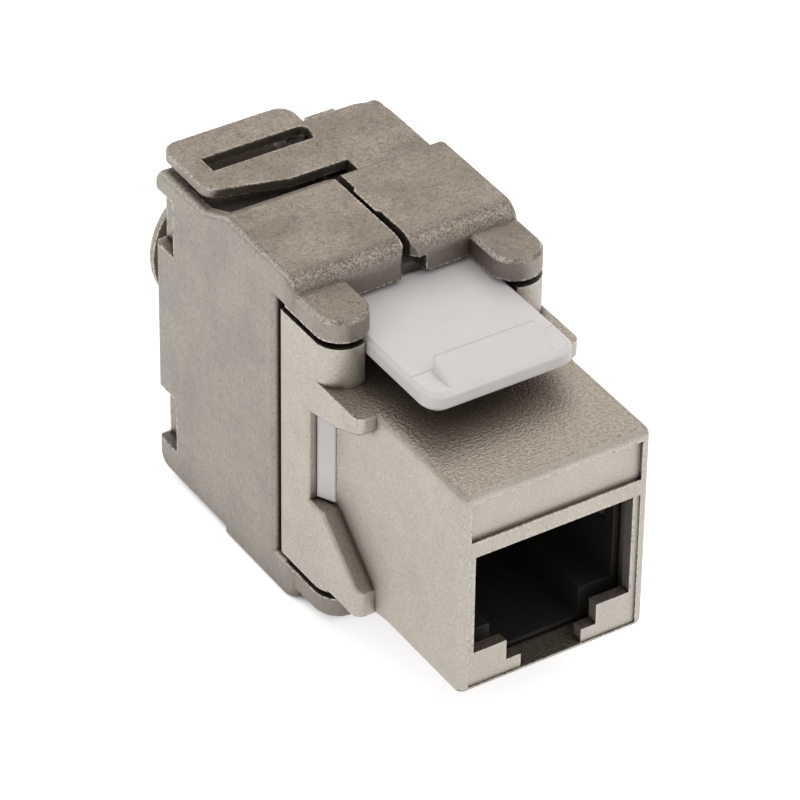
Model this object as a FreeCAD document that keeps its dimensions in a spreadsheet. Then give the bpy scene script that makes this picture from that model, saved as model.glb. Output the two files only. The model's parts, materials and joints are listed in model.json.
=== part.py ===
import FreeCAD, Part
import Sketcher
import os
import re

# Shielded keystone jack: a cast nose with a modular plug port, two cast doors hinged
# on upright axes that close round the cable, and a sprung release latch on top.
# Frame: X to the right seen from the front, Y to the rear, Z up. The origin is in the
# middle of the nose, on the plane where the panel meets the stops.

doc = FreeCAD.newDocument("keystone_jack")

# Driving dimensions in millimetres
SIZES = {
    # Plug port in the front wall, and the bands of wall round it
    "port_width": 12.1, "port_height": 7.85, "clip_width": 7.0, "clip_drop": 1.6,
    "catch_width": 4.7, "catch_drop": 1.05, "pillar_width": 1.2, "header_height": 5.0,
    "floor_wall": 0.5, "rim_margin": 0.45, "rim_top": 0.1, "rim_depth": 0.15,
    "label_margin": 0.75, "label_height": 3.05, "label_drop": 0.6, "label_depth": 0.3,
    # Nose, the part that goes through the panel
    "stop_depth": 10.3, "nose_round": 0.3, "face_bevel": 0.3, "face_wall": 1.0, "roof_wall": 1.0,
    # Rear frame of the housing, with its stops, windows and hinge knuckles
    "cheek_wall": 1.35, "frame_length": 10.0, "deck_rise": 0.25, "deck_wall": 1.2,
    "belly_drop": 0.7, "belly_start": 3.7, "belly_slope": 1.5, "belly_wall": 1.9,
    "stop_top": 1.25, "stop_bottom": 1.9, "stop_round": 0.7, "arm_fall": 1.1, "arm_reach": 2.7,
    "window_length": 1.45, "window_top": 5.1, "window_bottom": -2.1,
    "brace_reach": 1.7, "knuckle_rise": 3.3, "cheek_round": 0.6, "edge_round": 0.3,
    "hook_width": 9.0, "hook_height": 1.3, "hook_front": 4.0, "hook_rear": 1.4, "hook_flat": 0.5,
    # Hinges of the doors
    "hinge_margin": 4.7, "ear_radius": 1.9, "ear_wall": 1.65, "ear_bevel": 0.25,
    "hinge_gap": 0.5, "stud_radius": 0.7, "stud_reach": 0.8, "stud_end_gap": 0.2,
    "running_clearance": 0.05,
    # Doors
    "door_proud": 0.1, "door_gap": 0.4, "door_length": 15.5, "door_wall": 1.5, "door_roof": 1.4,
    "door_floor": 2.8, "lip_height": 2.7, "lip_depth": 2.9, "lip_overhang": 2.7, "lip_round": 1.5,
    "plateau_length": 9.4, "shelf_step": 1.3, "belly_step": 0.5, "tray_depth": 0.4,
    "tray_rim": 0.8, "ramp_lead": 0.6, "ramp_length": 3.0, "left_seam": 0.15, "right_seam": 0.4,
    "seam_bevel": 0.45, "seam_lobe": 0.25, "lobe_start": 1.4, "lobe_length": 3.2,
    "inner_gap": 0.4, "door_round": 0.5, "rear_round": 1.2,
    "notch_depth": 0.95, "notch_length": 2.5, "notch_height": 4.5, "notch_spread": 16.4,
    "hollow_depth": 1.6, "hollow_wall": 1.2, "relief_width": 1.0, "relief_height": 1.3,
    # Cable neck, half on each door
    "neck_level": 1.2, "neck_bore": 4.2, "neck_wall": 0.8, "neck_length": 5.85, "flange_rim": 0.85,
    "flange_wall": 0.55, "grip_rib": 0.35, "grip_pitch": 1.8, "grip_width": 0.6,
    # Plate and strap loop on the right door
    "plate_inner": 1.9, "plate_margin": 1.1, "plate_length": 6.8, "plate_drop": 0.15,
    "plate_round": 2.0, "strap_wall": 0.75, "strap_margin": 0.65, "strap_right": 1.85,
    "strap_front": 1.25, "strap_bend": 2.5, "strap_slant": 1.6, "strap_rear": 9.1, "strap_round": 1.2,
    "slot_margin": 1.65, "slot_right": 1.35, "slot_front": 4.7, "slot_length": 1.65, "slot_slant": 0.4,
    "slot_round": 0.5,
    "rib_inner": 3.1, "rib_width": 2.3, "rib_length": 0.7, "rib_height": 0.2,
    # Release latch
    "latch_width": 11.4, "latch_gap": 0.15, "latch_front": 4.05, "latch_wall": 1.4, "latch_rise": 0.1,
    "latch_round": 1.4, "latch_bevel": 0.3, "barb_width": 7.9, "barb_height": 1.1, "barb_front": 1.35,
    "pivot_margin": 1.5, "pivot_drop": 0.8, "barrel_radius": 0.7, "pivot_radius": 0.5,
    "pivot_seat": 0.55,
    # Contact insert, contact springs and ground springs
    "liner_wall": 0.4, "insert_gap": 0.1, "insert_drop": 0.2, "insert_front": 1.2,
    "insert_rear": 1.0, "insert_wall": 1.4, "insert_floor": 0.3, "comb_drop": 2.0,
    "comb_length": 3.0, "comb_slot": 0.6, "contact_pitch": 1.016, "contact_width": 0.4,
    "contact_wall": 0.3, "contact_run": 0.5, "contact_setback": 4.1, "contact_bend": 0.55,
    "contact_end": 1.8, "contact_dip": 3.2,
    "spring_wall": 0.2, "spring_height": 2.6, "spring_drop": 1.2, "spring_setback": 2.3,
    "spring_lead": 1.6, "spring_run": 1.9, "spring_foot": 2.1, "spring_bow": 0.55, "spring_gap": 0.05,
    # Circuit board, terminal carrier, terminals and wire manager
    "board_gap": 0.2, "board_wall": 1.4, "board_margin": 0.15, "board_hole": 0.55,
    "carrier_gap": 0.2, "carrier_side": 0.15, "carrier_nose": 0.55, "carrier_length": 8.6,
    "boss_gap": 0.12, "boss_rise": 0.7, "boss_lead": 0.2, "flange_gap": 0.3,
    "terminal_margin": 0.2, "terminal_rows": 9.2, "terminal_mid": 0.4, "terminal_width": 2.0,
    "terminal_wall": 0.5, "pin_width": 0.7, "pin_length": 1.1, "fork_slot": 0.4, "fork_depth": 2.6,
    "fork_flare": 0.45, "terminal_gap": 0.05, "manager_gap": 0.1, "manager_length": 6.6,
    "manager_inset": 0.2, "socket_gap": 0.3, "socket_depth": 3.2, "socket_end_gap": 0.5,
    "throat_width": 11.0, "throat_height": 5.0, "channel_width": 1.4, "channel_depth": 2.4,
    "channel_start": 1.8, "manager_round": 0.8,
}

sheet = doc.addObject("Spreadsheet::Sheet", "Sizes")
for row, (alias, number) in enumerate(SIZES.items(), 1):
    sheet.set("A%d" % row, alias)
    sheet.set("B%d" % row, str(number))
    sheet.setAlias("B%d" % row, alias)
doc.recompute()

CONTACTS = 8
TERMINALS_PER_ROW = 4

# Places that several pieces share, as expressions of the driving dimensions
NOSE_SIDE = "(port_width / 2 + pillar_width)"
NOSE_HEIGHT = "(header_height + port_height + clip_drop + catch_drop + floor_wall)"
NOSE_TOP = "(%s / 2)" % NOSE_HEIGHT
NOSE_FRONT = "(-stop_depth)"
INSERT_SIDE = "(port_width / 2 + liner_wall)"
CAVITY_SIDE = "(%s + insert_gap)" % INSERT_SIDE
CAVITY_TOP = "(%s - roof_wall)" % NOSE_TOP
CAVITY_FLOOR = "(floor_wall - %s)" % NOSE_TOP
CAVITY_FRONT = "(face_wall - stop_depth)"
PORT_TOP = "(%s - header_height)" % NOSE_TOP
TAB_TOP = "(%s - port_height)" % PORT_TOP
CLIP_LEDGE = "(%s - clip_drop)" % TAB_TOP
INSERT_TOP = "(%s - insert_gap)" % CAVITY_TOP
INSERT_LOW = "(%s + insert_drop)" % PORT_TOP
INSERT_BACK = "(insert_rear + insert_wall)"
BOARD_FRONT = "(%s + board_gap)" % INSERT_BACK
BOARD_REAR = "(%s + board_wall)" % BOARD_FRONT
CARRIER_FRONT = "(%s + carrier_gap)" % BOARD_REAR
CARRIER_REAR = "(%s + carrier_length)" % CARRIER_FRONT
CARRIER_SIDE = "(%s - carrier_side)" % NOSE_SIDE
WINDOW_FRONT = "(%s + carrier_nose)" % CARRIER_FRONT
WINDOW_REAR = "(%s + window_length)" % WINDOW_FRONT
MANAGER_FRONT = "(%s + manager_gap)" % CARRIER_REAR
MANAGER_REAR = "(%s + manager_length)" % MANAGER_FRONT
CHEEK_SIDE = "(%s + cheek_wall)" % NOSE_SIDE
DECK_TOP = "(%s + deck_rise)" % NOSE_TOP
BELLY = "(-%s - belly_drop)" % NOSE_TOP
KNUCKLE_TOP = "(%s + knuckle_rise)" % NOSE_TOP
HINGE_X = "(%s - ear_radius)" % CHEEK_SIDE
HINGE_Y = "(frame_length - hinge_margin)"
EAR_INNER = "(%s - ear_radius)" % HINGE_X
LATCH_SIDE = "(latch_width / 2)"
KNUCKLE_INNER = "(%s + latch_gap)" % LATCH_SIDE
EAR_LOW = "(%s + hinge_gap)" % KNUCKLE_TOP
LOW_EAR_HIGH = "(%s - hinge_gap)" % BELLY
DOOR_SIDE = "(%s + door_proud)" % CHEEK_SIDE
DOOR_FRONT = "(frame_length + door_gap)"
DOOR_REAR = "(%s + door_length)" % DOOR_FRONT
DOOR_TOP = "(%s + lip_height)" % EAR_LOW
DOOR_BOTTOM = "(%s - lip_depth)" % LOW_EAR_HIGH
BELLY_REAR = "(%s + belly_step)" % DOOR_BOTTOM
LIP_FRONT = "(%s - lip_overhang)" % DOOR_FRONT
PLATEAU_REAR = "(%s + plateau_length)" % LIP_FRONT
RAMP_FRONT = "(%s - ramp_lead)" % PLATEAU_REAR
RAMP_REAR = "(%s + ramp_length)" % RAMP_FRONT
SHELF = "(%s - shelf_step)" % DOOR_TOP
TRAY = "(%s - tray_depth)" % SHELF
PLATE_TOP = "(%s - plate_drop)" % DOOR_TOP
STRAP_LOW = "(%s - strap_wall)" % PLATE_TOP
INNER_TOP = "(%s - door_roof)" % TRAY
INNER_BOTTOM = "(%s + door_floor)" % BELLY_REAR
FLANGE_SIDE = "(%s - door_wall - flange_gap)" % DOOR_SIDE
FLANGE_TOP = "(%s - inner_gap)" % INNER_TOP
FLANGE_LOW = "(%s + inner_gap)" % INNER_BOTTOM
LATCH_TOP = "(%s + latch_rise)" % KNUCKLE_TOP
LATCH_LOW = "(%s - latch_wall)" % LATCH_TOP
PIVOT = ("(frame_length - pivot_margin)", "(%s - pivot_drop)" % LATCH_TOP)
CONTACT_LEVEL = "(%s - contact_run)" % INSERT_LOW

PLANE_ROLES = {"XY": "XY_Plane", "XZ": "XZ_Plane", "YZ": "YZ_Plane"}

# Places closer than this, in millimetres, count as the same
SAME_PLACE = 1e-4


def bound(text):
    """The expression with each driving dimension written as a cell of the sheet."""
    return re.sub(r"[a-z][a-z_]*[a-z]", lambda word: "Sizes." + word.group(0), text)


def value(text):
    """The number that an expression gives now."""
    return float(sheet.evalExpression(bound(text)))


def flip(text):
    return "-(%s)" % text


def sided(side, near, far):
    """A span from near to far of the middle, on the right (1) or the left (-1)."""
    if side > 0:
        return near, far
    return flip(far), flip(near)


class Piece:
    """A sub-part built as a PartDesign body, one feature after another."""

    def __init__(self, label):
        self.body = doc.addObject("PartDesign::Body", label)
        self.body.Label = label
        self.label = label
        self.count = 0

    def name(self, kind):
        self.count += 1
        return "%s_%s_%d" % (self.label, kind, self.count)

    def sketch(self, plane, offset):
        made = self.body.newObject("Sketcher::SketchObject", self.name("sketch"))
        role = PLANE_ROLES[plane]
        datum = [item for item in self.body.Origin.OriginFeatures if item.Role == role][0]
        made.AttachmentSupport = [(datum, "")]
        made.MapMode = "FlatFace"
        made.setExpression("AttachmentOffset.Base.z", bound(offset))
        return made

    def hold(self, sketch, kind, geometry, point, text):
        index = sketch.addConstraint(Sketcher.Constraint(kind, geometry, point, value(text)))
        sketch.setExpression("Constraints[%d]" % index, bound(text))

    def outline(self, sketch, points):
        """A closed outline of straight edges, each corner held by two driven distances."""
        corners = [FreeCAD.Vector(value(u), value(v), 0) for u, v in points]
        first = sketch.GeometryCount
        for index, corner in enumerate(corners):
            following = corners[(index + 1) % len(corners)]
            sketch.addGeometry(Part.LineSegment(corner, following), False)
        for index in range(len(corners)):
            following = (index + 1) % len(corners)
            sketch.addConstraint(Sketcher.Constraint("Coincident", first + index, 2, first + following, 1))
        for index, (u, v) in enumerate(points):
            self.hold(sketch, "DistanceX", first + index, 1, u)
            self.hold(sketch, "DistanceY", first + index, 1, v)

    def ring(self, sketch, centre, radius):
        middle = FreeCAD.Vector(value(centre[0]), value(centre[1]), 0)
        circle = Part.Circle(middle, FreeCAD.Vector(0, 0, 1), value(radius))
        index = sketch.addGeometry(circle, False)
        self.hold(sketch, "DistanceX", index, 3, centre[0])
        self.hold(sketch, "DistanceY", index, 3, centre[1])
        held = sketch.addConstraint(Sketcher.Constraint("Radius", index, value(radius)))
        sketch.setExpression("Constraints[%d]" % held, bound(radius))

    def feature(self, kind, plane, shapes, start, end):
        """A pad or a pocket of some outlines and circles, between two places on the normal."""
        facing = {"Pad": start, "Pocket": end}[kind]
        if plane == "XZ":
            facing = flip({"Pad": end, "Pocket": start}[kind])
        sketch = self.sketch(plane, facing)
        for shape in shapes:
            if isinstance(shape, tuple):
                self.ring(sketch, *shape)
            else:
                self.outline(sketch, shape)
        before = self.volume()
        made = self.body.newObject("PartDesign::" + kind, self.name(kind.lower()))
        made.Profile = sketch
        made.setExpression("Length", bound("(%s) - (%s)" % (end, start)))
        doc.recompute()
        grown = self.volume() - before
        if (grown <= 0) == (kind == "Pad"):
            raise RuntimeError("%s changed nothing" % made.Name)
        return made

    def pad(self, plane, shapes, start, end):
        return self.feature("Pad", plane, shapes, start, end)

    def pocket(self, plane, shapes, start, end):
        return self.feature("Pocket", plane, shapes, start, end)

    def volume(self):
        tip = self.body.Tip
        if tip is None or tip.Shape.isNull():
            return 0.0
        return tip.Shape.Volume

    def dress(self, kind, measure, size, chosen):
        """A fillet or a chamfer on each edge of the piece so far that the test picks."""
        tip = self.body.Tip
        names = ["Edge%d" % (index + 1) for index, edge in enumerate(tip.Shape.Edges) if chosen(edge)]
        if not names:
            raise RuntimeError("%s has no edge for the %s" % (self.label, kind))
        made = self.body.newObject("PartDesign::" + kind, self.name(kind.lower()))
        made.Base = (tip, names)
        made.setExpression(measure, bound(size))
        doc.recompute()
        if made.Shape.isNull() or not made.isValid():
            raise RuntimeError("%s could not be made" % made.Name)
        return made

    def round(self, radius, chosen):
        return self.dress("Fillet", "Radius", radius, chosen)

    def bevel(self, size, chosen):
        return self.dress("Chamfer", "Size", size, chosen)


def box_outline(low_u, low_v, high_u, high_v):
    return [(low_u, low_v), (high_u, low_v), (high_u, high_v), (low_u, high_v)]


def centred(half_u, low_v, high_v):
    return box_outline(flip(half_u), low_v, half_u, high_v)


def near(first, second):
    return abs(first - second) < SAME_PLACE


def along_x_at(place_y, place_z):
    """Picks the edges that run along X through a place."""
    y, z = value(place_y), value(place_z)

    def chosen(edge):
        return all(near(v.Y, y) and near(v.Z, z) for v in edge.Vertexes)
    return chosen


def upright_at(*places):
    """Picks the upright edges that stand at given places in plan."""
    spots = [(value(x), value(y)) for x, y in places]

    def chosen(edge):
        ends = edge.Vertexes
        if len(ends) < 2 or near(ends[0].Z, ends[1].Z):
            return False
        return any(all(near(v.X, x) and near(v.Y, y) for v in ends) for x, y in spots)
    return chosen


def in_level(place_z, low_y, high_y):
    """Picks the edges that lie in one level, between two places along Y."""
    z, low, high = value(place_z), value(low_y), value(high_y)

    def chosen(edge):
        middle = edge.CenterOfMass.y
        return all(near(v.Z, z) for v in edge.Vertexes) and low < middle < high
    return chosen


def on_side(place_x):
    """Picks the edges that lie in one upright plane square to X."""
    x = value(place_x)
    return lambda edge: near(edge.BoundBox.XMin, x) and near(edge.BoundBox.XMax, x)


def either(*tests):
    return lambda edge: any(test(edge) for test in tests)


def port_outline(top, floor):
    """The plug port with its clip channel, between a roof and the floor of the channel."""
    half_port, half_clip = "port_width / 2", "clip_width / 2"
    right = [(half_port, top), (half_port, TAB_TOP), (half_clip, TAB_TOP), (half_clip, floor)]
    return right + [(flip(x), z) for x, z in reversed(right)]


def front_housing():
    piece = Piece("front_housing")
    low = flip(NOSE_TOP)

    # Nose block, with its long edges rounded and its front edges bevelled
    piece.pad("XZ", [centred(NOSE_SIDE, low, DECK_TOP)], NOSE_FRONT, WINDOW_FRONT)
    upper, lower = value(DECK_TOP), value(low)

    def long_edge(edge):
        middle = edge.CenterOfMass
        return near(abs(middle.x), value(NOSE_SIDE)) and (near(middle.z, upper) or near(middle.z, lower))
    piece.round("nose_round", long_edge)
    front = value(NOSE_FRONT)

    def face_edge(edge):
        return near(edge.BoundBox.YMin, front) and near(edge.BoundBox.YMax, front)
    piece.bevel("face_bevel", face_edge)

    # Deck and belly of the rear frame
    deck = box_outline("0", "%s - deck_wall" % DECK_TOP, "frame_length", DECK_TOP)
    piece.pad("YZ", [deck], flip(CHEEK_SIDE), CHEEK_SIDE)
    belly_level = "(belly_start + belly_slope)"
    belly_top = "(%s + belly_wall)" % BELLY
    belly = [("0", low), ("belly_start", low), (belly_level, BELLY), ("frame_length", BELLY),
             ("frame_length", belly_top), ("0", belly_top)]
    piece.pad("YZ", [belly], flip(CHEEK_SIDE), CHEEK_SIDE)

    # Cheeks, each with an upper and a lower panel stop and a window between them
    cheek = [("frame_length", DECK_TOP), ("0", DECK_TOP), ("0", "%s - stop_top" % DECK_TOP),
             ("arm_reach", "%s - stop_top - arm_fall" % DECK_TOP), (WINDOW_REAR, "window_top"),
             (WINDOW_REAR, "window_bottom"), ("%s - brace_reach" % WINDOW_REAR, "window_bottom"),
             ("0", "%s + stop_bottom" % low), ("0", low), ("belly_start", low),
             (belly_level, BELLY), ("frame_length", BELLY)]
    for side in (1, -1):
        piece.pad("YZ", [cheek], *sided(side, NOSE_SIDE, CHEEK_SIDE))

    # Knuckles of the door hinges
    knuckle_low = "%s - deck_wall" % DECK_TOP
    for side in (1, -1):
        left, right = sided(side, KNUCKLE_INNER, CHEEK_SIDE)
        middle = HINGE_X if side > 0 else flip(HINGE_X)
        piece.pad("XY", [((middle, HINGE_Y), "ear_radius")], knuckle_low, KNUCKLE_TOP)
        piece.pad("XY", [box_outline(left, HINGE_Y, right, "frame_length")], knuckle_low, KNUCKLE_TOP)
        piece.pad("XY", [((middle, HINGE_Y), "ear_radius")], BELLY, belly_top)
    channel = box_outline(flip(KNUCKLE_INNER), "%s - ear_radius" % HINGE_Y, KNUCKLE_INNER, "frame_length")
    piece.pocket("XY", [channel], DECK_TOP, KNUCKLE_TOP)

    # Fixed hook under the nose
    hook = [("-hook_front", "%s + floor_wall" % low), ("-hook_front", low),
            ("-hook_rear - hook_flat", "%s - hook_height" % low),
            ("-hook_rear", "%s - hook_height" % low), ("-hook_rear", "%s + floor_wall" % low)]
    piece.pad("YZ", [hook], "-hook_width / 2", "hook_width / 2")

    # Rounded corners and outer edges of the cheeks
    piece.round("stop_round", upright_at((CHEEK_SIDE, "0"), (flip(CHEEK_SIDE), "0")))
    rear = [(CHEEK_SIDE, "frame_length"), (flip(CHEEK_SIDE), "frame_length")]
    piece.round("cheek_round", either(upright_at(*rear), along_x_at("frame_length", KNUCKLE_TOP),
                                      along_x_at("frame_length", BELLY)))
    cheek_edges = either(on_side(CHEEK_SIDE), on_side(flip(CHEEK_SIDE)))
    rear_face = value(WINDOW_REAR)

    def stop_edge(edge):
        middle = edge.CenterOfMass
        return cheek_edges(edge) and lower < middle.z < upper and middle.y < rear_face + SAME_PLACE
    piece.round("edge_round", stop_edge)

    # Hollow nose, plug port, port rim and label recess
    cavity = centred(CAVITY_SIDE, CAVITY_FLOOR, CAVITY_TOP)
    piece.pocket("XZ", [cavity], CAVITY_FRONT, WINDOW_FRONT)
    piece.pocket("XZ", [port_outline(PORT_TOP, CLIP_LEDGE)], NOSE_FRONT, CAVITY_FRONT)
    catch = centred("catch_width / 2", CAVITY_FLOOR, CLIP_LEDGE)
    piece.pocket("XZ", [catch], NOSE_FRONT, CAVITY_FRONT)
    rim = centred("port_width / 2 + rim_margin", CAVITY_FLOOR, "%s + rim_top" % PORT_TOP)
    piece.pocket("XZ", [rim], NOSE_FRONT, "%s + rim_depth" % NOSE_FRONT)
    label_top = "(%s - label_drop)" % NOSE_TOP
    label = centred("%s - label_margin" % NOSE_SIDE, "%s - label_height" % label_top, label_top)
    piece.pocket("XZ", [label], NOSE_FRONT, "%s + label_depth" % NOSE_FRONT)

    # Studs on which the doors turn, and bores for the latch pivots
    pivot = (PIVOT, "pivot_radius + running_clearance")
    pivot_end = "(%s + pivot_seat + stud_end_gap)" % KNUCKLE_INNER
    for side in (1, -1):
        stud = [((HINGE_X if side > 0 else flip(HINGE_X), HINGE_Y), "stud_radius")]
        piece.pad("XY", stud, KNUCKLE_TOP, "%s + stud_reach" % EAR_LOW)
        piece.pad("XY", stud, "%s - stud_reach" % LOW_EAR_HIGH, BELLY)
        piece.pocket("YZ", [pivot], *sided(side, KNUCKLE_INNER, pivot_end))
    return piece


def door(side, seam, step):
    """A door with the given step in its top, from the front part down to the shelf."""
    piece = Piece("right_door" if side > 0 else "left_door")
    outer, inner = (DOOR_SIDE, seam) if side > 0 else (flip(DOOR_SIDE), flip(seam))

    # Half shell from its side profile: raised front part, lower shelf behind it
    profile = [(LIP_FRONT, EAR_LOW), (LIP_FRONT, DOOR_TOP), *step, (DOOR_REAR, SHELF),
               (DOOR_REAR, BELLY_REAR), (PLATEAU_REAR, BELLY_REAR), (PLATEAU_REAR, DOOR_BOTTOM),
               (LIP_FRONT, DOOR_BOTTOM), (LIP_FRONT, LOW_EAR_HIGH), (DOOR_FRONT, LOW_EAR_HIGH),
               (DOOR_FRONT, EAR_LOW)]
    piece.pad("YZ", [profile], *sided(side, seam, DOOR_SIDE))
    piece.bevel("seam_bevel", upright_at((inner, LIP_FRONT)))
    piece.round("lip_round", either(along_x_at(LIP_FRONT, DOOR_TOP), along_x_at(LIP_FRONT, DOOR_BOTTOM)))
    piece.round("rear_round", either(along_x_at(DOOR_REAR, SHELF), along_x_at(DOOR_REAR, BELLY_REAR)))
    piece.round("door_round", either(on_side(outer), along_x_at(*step[0])))

    # Hinge ears with rounded ends, and the bores in which the door turns
    middle = HINGE_X if side > 0 else flip(HINGE_X)
    ear = sided(side, EAR_INNER, CHEEK_SIDE)
    ear_end = "(%s + lip_overhang / 2)" % LIP_FRONT
    ear_high = "(%s + ear_wall)" % EAR_LOW
    low_ear = "(%s - ear_wall)" % LOW_EAR_HIGH
    for low, high in ((EAR_LOW, ear_high), (low_ear, LOW_EAR_HIGH)):
        piece.pad("XY", [((middle, HINGE_Y), "ear_radius")], low, high)
        piece.pad("XY", [box_outline(ear[0], HINGE_Y, ear[1], ear_end)], low, high)
    ear_front = "%s - ear_radius - ear_bevel" % HINGE_Y
    ear_back = "%s - running_clearance" % LIP_FRONT
    piece.bevel("ear_bevel", either(in_level(ear_high, ear_front, ear_back),
                                    in_level(low_ear, ear_front, ear_back)))
    bore = [((middle, HINGE_Y), "stud_radius + running_clearance")]
    depth = "(stud_reach + stud_end_gap)"
    piece.pocket("XY", bore, EAR_LOW, "%s + %s" % (EAR_LOW, depth))
    piece.pocket("XY", bore, "%s - %s" % (LOW_EAR_HIGH, depth), LOW_EAR_HIGH)

    # Room for the wires, with thick walls hollowed out
    wall_side = "(%s - door_wall)" % DOOR_SIDE
    wall_rear = "(%s - door_wall)" % DOOR_REAR
    room = sided(side, seam, wall_side)
    piece.pocket("XZ", [box_outline(room[0], INNER_BOTTOM, room[1], INNER_TOP)], DOOR_FRONT, wall_rear)
    hollow = sided(side, "%s + hollow_wall" % seam, wall_side)
    hollow_front = "%s + hollow_wall" % DOOR_FRONT
    upper = box_outline(hollow[0], hollow_front, hollow[1], "%s - hollow_wall" % PLATEAU_REAR)
    lower = box_outline(hollow[0], hollow_front, hollow[1], "%s - hollow_wall" % wall_rear)
    piece.pocket("XY", [upper], INNER_TOP, "%s + hollow_depth" % INNER_TOP)
    piece.pocket("XY", [lower], "%s - hollow_depth" % INNER_BOTTOM, INNER_BOTTOM)

    # Half of the cable neck, with its end flange and grip ribs
    axis = ("0", "neck_level")
    neck_end = "(%s + neck_length)" % DOOR_REAR
    neck_outer = "(neck_bore + neck_wall)"
    piece.pad("XZ", [(axis, neck_outer)], DOOR_REAR, neck_end)
    piece.pad("XZ", [(axis, "%s + flange_rim" % neck_outer)], "%s - flange_wall" % neck_end, neck_end)
    piece.pocket("XZ", [(axis, "neck_bore")], wall_rear, neck_end)
    for number in (1, 2):
        start = "(%s + %d * grip_pitch)" % (DOOR_REAR, number)
        rib = [(axis, "neck_bore + neck_wall / 2"), (axis, "neck_bore - grip_rib")]
        piece.pad("XZ", rib, start, "%s + grip_width" % start)
    spare = sided(side, "-neck_bore - neck_wall - 2 * flange_rim", seam)
    reach = "(neck_bore + neck_wall + 2 * flange_rim)"
    half = box_outline(spare[0], "neck_level - %s" % reach, spare[1], "neck_level + %s" % reach)
    piece.pocket("XZ", [half], DOOR_REAR, neck_end)

    # Notches in the rear outer corners
    notch = sided(side, "%s - notch_depth" % DOOR_SIDE, DOOR_SIDE)
    for way in ("+", "-"):
        middle_z = "(neck_level %s notch_spread / 2)" % way
        outline = box_outline(notch[0], "%s - notch_height / 2" % middle_z,
                              notch[1], "%s + notch_height / 2" % middle_z)
        piece.pocket("XZ", [outline], "%s - notch_length" % DOOR_REAR, DOOR_REAR)
    return piece


def left_door():
    """The door with a tray behind its front part, and a rim that ramps down beside it."""
    piece = door(-1, "left_seam", [(RAMP_FRONT, DOOR_TOP), (RAMP_REAR, SHELF)])
    tray = box_outline("tray_rim - %s" % DOOR_SIDE, PLATEAU_REAR, "-left_seam", DOOR_REAR)
    piece.pocket("XY", [tray], TRAY, DOOR_TOP)
    piece.bevel("seam_bevel", upright_at(("-left_seam", PLATEAU_REAR)))
    return piece


def right_door():
    """The door with a plate behind its front part, and a strap loop on the plate."""
    piece = door(1, "right_seam", [(PLATEAU_REAR, DOOR_TOP), (PLATEAU_REAR, SHELF)])

    # Raised plate behind the front part
    plate_rear = "(%s + plate_length)" % PLATEAU_REAR
    plate_outer = "(%s - plate_margin)" % DOOR_SIDE
    plate = box_outline("plate_inner", "%s - door_round" % PLATEAU_REAR, plate_outer, plate_rear)
    piece.pad("XY", [plate], TRAY, PLATE_TOP)
    piece.round("plate_round", upright_at((plate_outer, plate_rear)))

    # Strap loop that reaches across over the other door
    root = "(plate_inner + tray_rim)"
    front = "(%s + strap_front)" % PLATEAU_REAR
    left_front = "(%s + strap_slant)" % front
    rear = "(%s + strap_rear)" % PLATEAU_REAR
    left = "(strap_margin - %s)" % DOOR_SIDE
    strap = [(root, front), ("-strap_bend", front), (left, left_front), (left, rear),
             ("strap_right", rear), ("strap_right", plate_rear), (root, plate_rear)]
    piece.pad("XY", [strap], STRAP_LOW, PLATE_TOP)
    piece.round("strap_round", upright_at((left, left_front), (left, rear), ("strap_right", rear)))
    slot_left = "(%s + slot_margin)" % left
    slot_front = "(%s + slot_front)" % PLATEAU_REAR
    slot_rear = "(%s + slot_length)" % slot_front
    slot_end = ("slot_right + slot_slant", slot_rear)
    slot = [(slot_left, slot_front), ("slot_right", slot_front), slot_end, (slot_left, slot_rear)]
    piece.pocket("XY", [slot], STRAP_LOW, PLATE_TOP)
    piece.round("slot_round", upright_at(slot_end))

    # Small rib on the rear edge, and a lobe that narrows the seam
    rib = box_outline("rib_inner", "%s - rib_length" % DOOR_REAR, "rib_inner + rib_width", DOOR_REAR)
    piece.pad("XY", [rib], "%s - rear_round" % SHELF, "%s - rib_height" % SHELF)
    lobe_front = "(%s + lobe_start)" % DOOR_FRONT
    lobe_end = "(%s + lobe_length)" % lobe_front
    crest = "right_seam - seam_lobe"
    lobe = [("right_seam", lobe_front), ("right_seam", lobe_end), (crest, "%s - seam_lobe" % lobe_end),
            (crest, "%s + seam_lobe" % lobe_front)]
    piece.pad("XY", [lobe], INNER_TOP, DOOR_TOP)

    # Relief under the inner corner of the lip
    relief = box_outline("right_seam", EAR_LOW, "right_seam + relief_width", "%s + relief_height" % EAR_LOW)
    piece.pocket("XZ", [relief], LIP_FRONT, DOOR_FRONT)
    return piece


def release_latch():
    piece = Piece("release_latch")
    piece.pad("XY", [centred(LATCH_SIDE, "-latch_front", PIVOT[0])], LATCH_LOW, LATCH_TOP)
    piece.round("latch_round", upright_at((LATCH_SIDE, "-latch_front"), (flip(LATCH_SIDE), "-latch_front")))
    rear = "%s - latch_wall" % PIVOT[0]
    front = "-latch_front - latch_bevel"
    piece.bevel("latch_bevel", either(in_level(LATCH_TOP, front, rear), in_level(LATCH_LOW, front, rear)))
    barb = [("-barb_front", LATCH_LOW), ("-barb_front", "%s + barb_height" % LATCH_TOP),
            ("latch_bevel - latch_front", LATCH_TOP), ("latch_bevel - latch_front", LATCH_LOW)]
    piece.pad("YZ", [barb], "-barb_width / 2", "barb_width / 2")
    piece.pad("YZ", [(PIVOT, "barrel_radius")], flip(LATCH_SIDE), LATCH_SIDE)
    tip = "(%s + pivot_seat)" % KNUCKLE_INNER
    piece.pad("YZ", [(PIVOT, "pivot_radius")], flip(tip), tip)
    return piece


def contact_place(number):
    """Middle of a contact across the port."""
    return "((%d - %.1f) * contact_pitch)" % (number, (CONTACTS + 1) / 2)


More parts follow.
